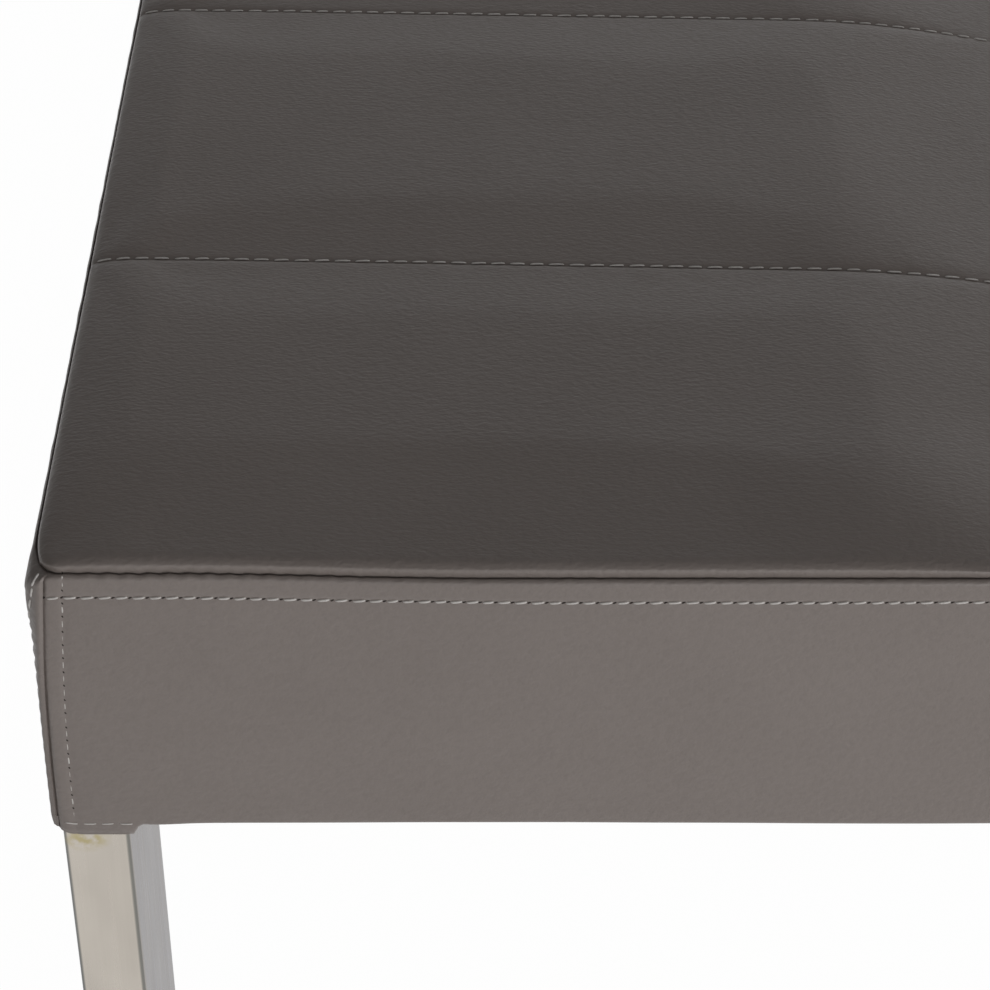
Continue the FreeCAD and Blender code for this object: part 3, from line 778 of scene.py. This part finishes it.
def row_rise(y):
    """Crest of the top above the edge seam: rows crowned between the stitched lines."""
    rises = []
    for place in ROW_EDGES:
        distance = abs(y - place)
        if abs(place) < PAD_Y:
            foot = STITCH_RISE + LINE_ROLL_RISE * roll(distance / LINE_ROLL)
            crown = CROWN_RISE - STITCH_RISE - LINE_ROLL_RISE
        else:
            foot = EDGE_ROLL_RISE * roll(distance / EDGE_ROLL)
            crown = CROWN_RISE - EDGE_ROLL_RISE
        rises.append(foot + crown * slope_off(distance / CROWN_REACH))
    return min(rises)


def nearest_stitched_line(y):
    """Distance to the nearest stitched line across the bench."""
    return min(abs(y - STITCHED_Y), abs(y + STITCHED_Y))


def valley_depth(y):
    """Depth of a deep seam, which comes up to the edge at the front and back."""
    return VALLEY_DROP * roll((PAD_Y - abs(y)) / VALLEY_FADE)


def pad_height(x, y, left, right):
    """Height of the quilted top of the section between two ends."""
    rise = row_rise(y)
    to_edge = PAD_Y - abs(y)
    for end, inside in ((left, x - left), (right, right - x)):
        if abs(abs(end) - PAD_X) < MM:
            tight = 0.55 - 0.2 * bell(nearest_stitched_line(y), 30 * MM)
            rise *= tight * roll(inside / END_ROLL) + (1 - tight) * slope_off(inside / END_SLOPE, 3)
        else:
            pull = VALLEY_PULL * (1 - ease(inside / (right - left))) * ease(to_edge / (2 * VALLEY_FADE))
            start = -valley_depth(y)
            rise = start + (rise - pull - start) * slope_off(inside / VALLEY_ROLL)
    at_seam = 1 - ease(min(to_edge, PAD_X - abs(x)) / (30 * MM))
    return SEAM_Z + rise + (seam_height(x) - SEAM_Z) * at_seam


def rounded_corner(x, y):
    """Moves a place in the square of a seat corner into the edge seam's round corner."""
    across = max(abs(x) - STRAIGHT_X, 0) / SEAM_CORNER_X
    along = max(abs(y) - STRAIGHT_Y, 0) / SEAM_CORNER_Y
    if across == 0 or along == 0:
        return x, y
    round_x = STRAIGHT_X + SEAM_CORNER_X * across * math.sqrt(1 - along**2 / 2)
    round_y = STRAIGHT_Y + SEAM_CORNER_Y * along * math.sqrt(1 - across**2 / 2)
    return math.copysign(round_x, x), math.copysign(round_y, y)


def overhang(inside):
    """How far the top swells outwards near the edge seam."""
    return EDGE_OVERHANG * ease(inside / (0.9 * MM)) * (1 - ease(inside / (9 * MM)))


def pad_point(x, y, left, right, seed):
    """A point of a section's top, with the cover's unevenness and the gathers along its seams."""
    to_side = min(x - left, right - x)
    to_edge = PAD_Y - abs(y)
    to_line = nearest_stitched_line(y)
    free = ease(min(to_side, to_edge, to_line) / (22 * MM))
    hollow = TOP_HOLLOWS * uneven(80 * MM, x, 1.5 * y, seed) * free
    gathers = LINE_GATHERS * uneven(9 * MM, x, 0, seed + 3) * bell(to_line - 3 * MM, 4 * MM)
    scallop = seam_scallop(x) * bell(to_edge - 0.3 * MM, 1.0 * MM)
    tuck = (SEAM_DEPTH + 0.5 * MM) * bell(min(to_side, to_edge), TUCK_WIDTH)
    z = pad_height(x, y, left, right) + hollow + gathers + scallop - tuck
    round_x, round_y = rounded_corner(x, y)
    round_y += math.copysign(overhang(to_edge) - 0.5 * scallop, y)
    round_y += line_shift(x) * ease(to_edge / (2 * VALLEY_FADE))
    return Vector((round_x, round_y, z))


def pad_rows():
    """Places along Y, closer together at the edges and at the stitched lines."""
    near_edge = [0, 0.25, 0.5, 0.9, 1.4, 2.0, 2.8, 3.8, 5, 7, 10, 14, 19]
    near_line = [0, 0.8, 1.8, 3, 4.5, 6.5, 9.5, 13.5, 18.5]
    places = []
    for front, back in zip(ROW_EDGES, ROW_EDGES[1:]):
        front_steps = near_edge if front == ROW_EDGES[0] else near_line[1:]
        back_steps = near_edge if back == ROW_EDGES[-1] else near_line
        middle = spread(front + front_steps[-1] * MM, back - back_steps[-1] * MM, 5 * MM)
        places += [front + step * MM for step in front_steps]
        places += middle[1:-1]
        places += [back - step * MM for step in reversed(back_steps)]
    return places


def pad_columns(left, right):
    """Places along X, even, with a few more at the section's two ends."""
    near = [0, 0.25, 0.5, 0.9, 1.6, 2.6, 3.8]
    middle = spread(left + 5.2 * MM, right - 5.2 * MM, 1.8 * MM)
    return [left + step * MM for step in near] + middle + [right - step * MM for step in reversed(near)]


def settle(piece, sewn):
    """Cloth simulation: the cover swells on its wadding between the seams that hold it."""
    frames = 14
    largest_move = 0.9 * MM
    before = [vertex.co.copy() for vertex in piece.data.vertices]
    piece.vertex_groups.new(name="sewn").add(sewn, 1.0, "REPLACE")
    make_active(piece)
    cloth = piece.modifiers.new("Cloth", "CLOTH")
    settings = cloth.settings
    settings.vertex_group_mass = "sewn"
    settings.use_pressure = True
    settings.uniform_pressure_force = 2.0
    settings.bending_stiffness = 5.0
    settings.effector_weights.gravity = 0
    cloth.point_cache.frame_start = 1
    cloth.point_cache.frame_end = frames
    for number in range(1, frames + 1):
        bpy.context.scene.frame_set(number)
    bpy.ops.object.modifier_apply(modifier=cloth.name)
    bpy.context.scene.frame_set(1)
    for vertex, start in zip(piece.data.vertices, before):
        move = vertex.co - start
        if move.length > largest_move:
            vertex.co = start + move * (largest_move / move.length)
    piece.vertex_groups.clear()


def close_below(piece):
    """Closes a pad: its edge goes straight down to its underside, which is flat."""
    mesh = bpy.ops.mesh
    edit_all(piece, mesh.region_to_loop, mesh.extrude_edges_move, mesh.edge_face_add)
    for vertex in piece.data.vertices:
        if vertex.select:
            vertex.co.z = PAD_BOTTOM
    edit_all(piece, mesh.normals_make_consistent)


def quilted_pad(number, seed):
    """The quilted cover of one section, swollen between its seams."""
    low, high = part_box(f"top_pad_{number}")
    point = partial(pad_point, left=low.x, right=high.x, seed=seed)
    piece = add_grid(f"quilted_pad_{number}", pad_columns(low.x, high.x), pad_rows(), point)
    face_outwards(piece, lambda centre: Vector((0, 0, 1)))
    sewn = [
        vertex.index
        for vertex in piece.data.vertices
        if min(vertex.co.x - low.x, high.x - vertex.co.x, PAD_Y - abs(vertex.co.y)) < 2 * MM
        or nearest_stitched_line(vertex.co.y - line_shift(vertex.co.x)) < 1.2 * MM
    ]
    settle(piece, sewn)
    finish_with(piece, "SUBSURF", levels=1, render_levels=1)
    close_below(piece)
    shade_smooth(piece, 60)
    return piece


# Stitches and needle holes


def model_stitch():
    """One stitch along X: a short round thread whose ends dive into the leather."""
    deselect_all()
    bpy.ops.mesh.primitive_uv_sphere_add(segments=8, ring_count=6, radius=1, rotation=(0, QUARTER_TURN, 0))
    piece = new_piece("stitch")
    bpy.ops.object.transform_apply(location=False, rotation=True, scale=False)
    for vertex in piece.data.vertices:
        share = vertex.co.x
        ring = math.hypot(vertex.co.y, vertex.co.z)
        full = math.sqrt(math.sqrt(max(1 - share**4, 0))) / ring if ring > 0.01 else 0
        vertex.co.x = share * STITCH_LENGTH / 2
        vertex.co.y *= full * THREAD_WIDTH / 2
        vertex.co.z = vertex.co.z * full * THREAD_WIDTH / 2 - 0.3 * MM * share**4
    shade_smooth(piece)
    return piece


def model_hole_shade():
    """One needle hole's painted shade: a small dish painted dark, longer than wide and askew to the seam.
    """
    deselect_all()
    bpy.ops.mesh.primitive_uv_sphere_add(segments=8, ring_count=4, radius=1)
    piece = new_piece("hole")
    piece.scale = (0.82 * MM, 0.4 * MM, 0.12 * MM)
    piece.rotation_euler = (0, 0, math.radians(35))
    bpy.ops.object.transform_apply(location=False, rotation=True, scale=True)
    shade_smooth(piece)
    return piece


STITCH = model_stitch()
HOLE_SHADE_DISH = model_hole_shade()


def placed(point, along, out):
    """Matrix that puts a shape at a point, its X along a seam and its Z outwards."""
    along = along.normalized()
    across = out.cross(along).normalized()
    out = along.cross(across)
    turn = Matrix((along, across, out)).transposed().to_4x4()
    return Matrix.Translation(point) @ turn


def copies(name, shape, matrices):
    """Copies of one modelled shape, each with its own mesh, joined into one piece."""
    deselect_all()
    made = [moved_copy(shape, name, matrix) for matrix in matrices]
    for piece in made:
        piece.select_set(True)
    bpy.context.view_layer.objects.active = made[0]
    bpy.ops.object.join()
    return new_piece(name)


def stitched_line(name, place, start, end, pitch, seed, lift, hole_shade_size, slant=6.0, thread=1.0):
    """Stitches, and dark dishes of painted shade in the needle holes unless their size is 0, along a seam.

    place(distance) gives a point of the seam and its direction outwards.
    """
    chance = random.Random(seed)
    lengths = [chance.uniform(*SPACING) for _ in range(round(abs(end - start) / pitch))]
    scale = (end - start) / sum(lengths)
    stitches = []
    hole_shades = []
    at = start
    for length in lengths:
        step = length * scale
        middle = at + step / 2
        point, out = place(middle)
        along = place(middle + step / 4)[0] - place(middle - step / 4)[0]
        lean = Matrix.Rotation(math.radians(slant + chance.uniform(-ASKEW, ASKEW)), 4, "Z")
        stretch = Matrix.Diagonal((abs(step) / STITCH_PITCH * chance.uniform(*FILLING), thread, thread, 1))
        stand = THREAD_WIDTH * (lift + chance.uniform(-UNSTEADY, UNSTEADY))
        stitches.append(placed(point + out * stand, along, out) @ lean @ stretch)
        hole, hole_out = place(at)
        hole_shades.append(placed(hole, along, hole_out) @ Matrix.Scale(hole_shade_size, 4))
        at += step
    made = [(copies(f"{name}_stitches", STITCH, stitches), THREAD, "seam_thread")]
    if hole_shade_size > 0:
        made.append((copies(f"{name}_needle_holes", HOLE_SHADE_DISH, hole_shades), HOLE_SHADE, "cover_leather"))
    return made


def panel_stitches(panel, name):
    """Stitched lines of a boxing panel: under the edge seam, beside the corner seams and on the flaps."""

    def under_seam(along):
        return panel.surface(along, panel.topstitch(along))

    def on_flap(along):
        return panel.surface(along, panel.bottom(along) + HEM_STITCH)

    first = panel.top_start - panel.half_path
    top_look = {"lift": panel.top_lift, "hole_shade_size": panel.top_holes}
    corner_look = {"lift": panel.corner_lift, "hole_shade_size": panel.corner_holes, "slant": 2.0}
    flap_look = {"lift": 0.05, "hole_shade_size": 0.0, "slant": 0.0, "thread": 0.6}
    made = stitched_line(f"{name}_top", under_seam, first, -first, TOPSTITCH_PITCH, 11, **top_look)
    top = SEAM_Z + CORNER_RISE - ROLL_GAP
    for side, sign in (("left", -1), ("right", 1)):

        def beside_corner(distance):
            z = top - distance**2 / (distance + panel.bend_slack)
            return panel.surface(sign * (panel.half_path - panel.corner_stitch(z)), z)

        start = sign * (panel.half_path - 2 * MM)
        end = sign * (panel.leg_inner - FLAP_LAP + 2 * MM - panel.reach(panel.leg_inner))
        line = (beside_corner, 0.2 * MM, top - FLAP_Z - 6 * MM, CORNER_PITCH, 23 + sign)
        made += stitched_line(f"{name}_{side}_corner", *line, **corner_look)
        line = (on_flap, start, end, CORNER_PITCH, 31 + sign)
        made += stitched_line(f"{name}_{side}_flap", *line, **flap_look)
    return made


def quilting_stitches(number):
    """Stitches along the lines that part the rows of one section, sewn to the row behind."""
    low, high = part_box(f"top_pad_{number}")
    height = partial(pad_height, left=low.x, right=high.x)
    line_ends = (low.x + 2 * MM, high.x - 3 * MM)
    line_look = {"lift": 0.25, "hole_shade_size": 0.0, "slant": 3.0, "thread": 0.8}
    made = []
    for row, line in ((1, -STITCHED_Y), (2, STITCHED_Y)):

        def on_line(x):
            wander = 0.25 * MM * uneven(30 * MM, x, row, number)
            along_slope = (height(x + MM, line) - height(x - MM, line)) / (2 * MM)
            point = Vector((x, line + line_shift(x) + 0.4 * MM + wander, height(x, line + 0.4 * MM)))
            return point, Vector((-along_slope, -0.2, 1)).normalized()

        name = f"quilting_{number}_{row}"
        made += stitched_line(name, on_line, *line_ends, QUILTING_PITCH, 40 + row, **line_look)
    return made


# Underside

NOTCH_X = -PLATE_HIGH.x - 8 * MM  # the dust cover is cut away beyond both, round a leg plate
NOTCH_Y = -PLATE_HIGH.y - 8 * MM
DUST_SAG = 2.5 * MM
DUST_CREASES = 0.8 * MM
STAPLE_SPACING = 42 * MM


def on_sheet(x, y):
    """True where the dust cover is, which is cut away round the leg plates."""
    return abs(x) < NOTCH_X or abs(y) < NOTCH_Y


def dust_sheet():
    """Cloth stapled under the seat, a little slack between its staples."""
    columns = spread(COVER_LOW.x, COVER_HIGH.x, 8 * MM)
    rows = spread(COVER_LOW.y, COVER_HIGH.y, 8 * MM)

    def point(x, y):
        inside = min(COVER_HIGH.x - abs(x), COVER_HIGH.y - abs(y))
        sag = DUST_SAG * ease(inside / 0.12)
        crease = DUST_CREASES * uneven(50 * MM, x, y / 2, 5) * ease(inside / 0.03)
        return Vector((x, y, COVER_LOW.z - sag + crease))

    piece = add_grid("dust_sheet", columns, rows, point)
    edit_all(piece, partial(bpy.ops.mesh.select_all, action="DESELECT"))
    for face in piece.data.polygons:
        face.select = not on_sheet(face.center.x, face.center.y)
    bpy.ops.object.mode_set(mode="EDIT")
    bpy.ops.mesh.delete(type="FACE")
    bpy.ops.object.mode_set(mode="OBJECT")
    face_outwards(piece, lambda centre: Vector((0, 0, -1)))
    finish_with(piece, "SOLIDIFY", thickness=0.5 * MM, offset=-1)
    shade_smooth(piece)
    return piece


def model_staple():
    """One staple seen from below: a flat crown with rounded shoulders, its legs in the wood."""
    deselect_all()
    bpy.ops.mesh.primitive_cube_add(size=1)
    piece = new_piece("staple")
    piece.scale = (10 * MM, 1.1 * MM, 0.7 * MM)
    bpy.ops.object.transform_apply(location=False, rotation=False, scale=True)
    finish_with(piece, "BEVEL", width=0.25 * MM, segments=2)
    shade_smooth(piece, 40)
    return piece


def staples():
    """A row of staples round the edge of the dust cover."""
    shape = model_staple()
    chance = random.Random(8)
    inset = 6 * MM
    level = COVER_LOW.z - 0.2 * MM
    edge_x = COVER_HIGH.x - inset
    edge_y = COVER_HIGH.y - inset
    columns = spread(inset - NOTCH_X, NOTCH_X - inset, STAPLE_SPACING)
    rows = spread(inset - NOTCH_Y, NOTCH_Y - inset, STAPLE_SPACING)
    matrices = []
    for side in (-1, 1):
        places = [(x, side * edge_y, 0) for x in columns]
        places += [(side * edge_x, y, QUARTER_TURN) for y in rows]
        for x, y, turn in places:
            lean = Matrix.Rotation(turn + math.radians(chance.uniform(-8, 8)), 4, "Z")
            matrices.append(Matrix.Translation((x, y, level)) @ lean)
    made = copies("dust_cover_staples", shape, matrices)
    bpy.data.objects.remove(shape)
    return made


# Studio

CAMERA_LENS = 107.5  # millimetres, on a sensor of the width below
SENSOR_WIDTH = 36
CAMERA_PLACE = (0.1316 - HALF_LENGTH, -0.635 - HALF_DEPTH, SEAM_Z + 0.524)  # off the front left corner
CAMERA_DOWN = 37.9  # degrees below level
FLOOR_WHITE = 0.985  # share of pure white in the floor as it is seen, the rest shows shadows
SWEEP_FOOT = math.radians(8)  # the sweep is bright below this height above level
SWEEP_TOP = math.radians(45)  # and dim above this one
OVERHEAD_LIGHT = 0.19
LEFT_LIGHT = 0.2


def add_camera():
    """The photograph's view: close to the front left corner, looking down on it."""
    camera = bpy.data.cameras.new("camera")
    camera.lens = CAMERA_LENS
    camera.sensor_fit = "HORIZONTAL"
    camera.sensor_width = SENSOR_WIDTH
    view = add_object("camera", camera)
    view.location = CAMERA_PLACE
    view.rotation_euler = (math.radians(90 - CAMERA_DOWN), 0, 0)
    bpy.context.scene.camera = view


def add_floor():
    """Plain white floor: white to the eye and in reflections, with a soft trace of the bench's shadow."""
    deselect_all()
    bpy.ops.mesh.primitive_plane_add(size=30)
    floor = new_piece("floor")
    material = bpy.data.materials.new("white_floor")
    material.use_nodes = True
    material.node_tree.nodes.clear()
    add = partial(add_node, material.node_tree)
    path = add("LightPath").node.outputs
    seen = add("Math", {0: path["Is Camera Ray"], 1: path["Is Glossy Ray"]}, operation="MAXIMUM")
    seen = add("Math", {0: seen, 1: path["Is Transmission Ray"]}, operation="MAXIMUM")
    glow = add("Math", {0: seen, 1: FLOOR_WHITE}, operation="MULTIPLY")
    matt = add("BsdfDiffuse", {"Color": linear("#f2f2f2")})
    white = add("Emission", {"Color": (1, 1, 1, 1), "Strength": 1.0})
    mix = add("MixShader", {0: glow, 1: matt, 2: white})
    add("OutputMaterial", {"Surface": mix})
    floor.data.materials.append(material)
    floor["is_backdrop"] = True


def add_world():
    """White studio sweep: bright round the horizon, dim overhead and to the left."""
    world = bpy.data.worlds.new("studio")
    bpy.context.scene.world = world
    world.use_nodes = True
    world.node_tree.nodes.clear()
    add = partial(add_node, world.node_tree)
    direction = add("TexCoord").node.outputs["Generated"]
    axes = add("SeparateXYZ", {"Vector": direction}).node.outputs
    heights = {"From Min": math.sin(SWEEP_FOOT), "From Max": math.sin(SWEEP_TOP)}
    levels = {"Value": axes["Z"], **heights, "To Min": 1.0, "To Max": OVERHEAD_LIGHT}
    sweep = add("MapRange", levels, interpolation_type="SMOOTHSTEP")
    sides = {"Value": axes["X"], "From Min": -0.9, "From Max": 0.2, "To Min": LEFT_LIGHT, "To Max": 1.0}
    left_share = add("MapRange", sides)
    strength = add("Math", {0: sweep, 1: left_share}, operation="MULTIPLY")
    back = add("Background", {"Color": (1, 1, 1, 1), "Strength": strength})
    add("OutputWorld", {"Surface": back})


def add_softbox():
    """Wide low light from the front, to the right of the view."""
    light = bpy.data.lights.new("front_softbox", "AREA")
    light.shape = "RECTANGLE"
    light.size = 2.0
    light.size_y = 0.5
    light.energy = 15.5
    box = add_object("front_softbox", light)
    place = Vector((0.8, -1.7, 0.32))
    target = Vector((-0.3, 0, 0.42))
    box.location = place
    box.rotation_euler = (target - place).to_track_quat("-Z", "Y").to_euler()


def add_studio():
    add_camera()
    add_floor()
    add_world()
    add_softbox()
    bpy.context.scene.view_settings.view_transform = "Standard"


# The bench


def both_halves(lines, name, turned_name):
    """Stitched lines, each followed by its turned copy under the other half's name."""
    for line, finish, slot in lines:
        yield line, finish, slot
        yield turned_half(line, line.name.replace(name, turned_name)), finish, slot


def upholster():
    """The cover's pieces, half of them modelled and half turned copies."""
    made = []
    for panel, node, turned_node in (
        (FRONT_PANEL, "front_boxing", "back_boxing"),
        (END_PANEL, "left_boxing", "right_boxing"),
    ):
        cover = boxing_cover(panel)
        turned = turned_half(cover, f"{turned_node}_cover")
        for piece, side in ((cover, node), (turned, turned_node)):
            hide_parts(side)
            made.append((piece, LEATHER, "cover_leather"))
        made += both_halves(panel_stitches(panel, node), node, turned_node)
    for number, turned_number in ((1, 4), (2, 3)):
        pad = quilted_pad(number, 3.7 * number)
        turned = turned_half(pad, f"quilted_pad_{turned_number}")
        for piece, node_number in ((pad, number), (turned, turned_number)):
            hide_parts(f"top_pad_{node_number}")
            made.append((piece, LEATHER, "cover_leather"))
        lines = quilting_stitches(number)
        made += both_halves(lines, f"quilting_{number}", f"quilting_{turned_number}")
    for piece, finish, slot in made:
        dress(piece, finish, slot)


def cover_underside():
    sheet = dust_sheet()
    pins = staples()
    dress(sheet, CLOTH, "dust_cloth")
    dress(pins, ZINC, "plated_fasteners")
    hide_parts("dust_cover")


add_studio()
finish_packed_pieces()
upholster()
cover_underside()
for shape in (STITCH, HOLE_SHADE_DISH):
    bpy.data.objects.remove(shape)

boxes = {"cad": CAD_BOX, "visual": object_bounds()}
{name: [list(corner) for corner in box] for name, box in boxes.items()}
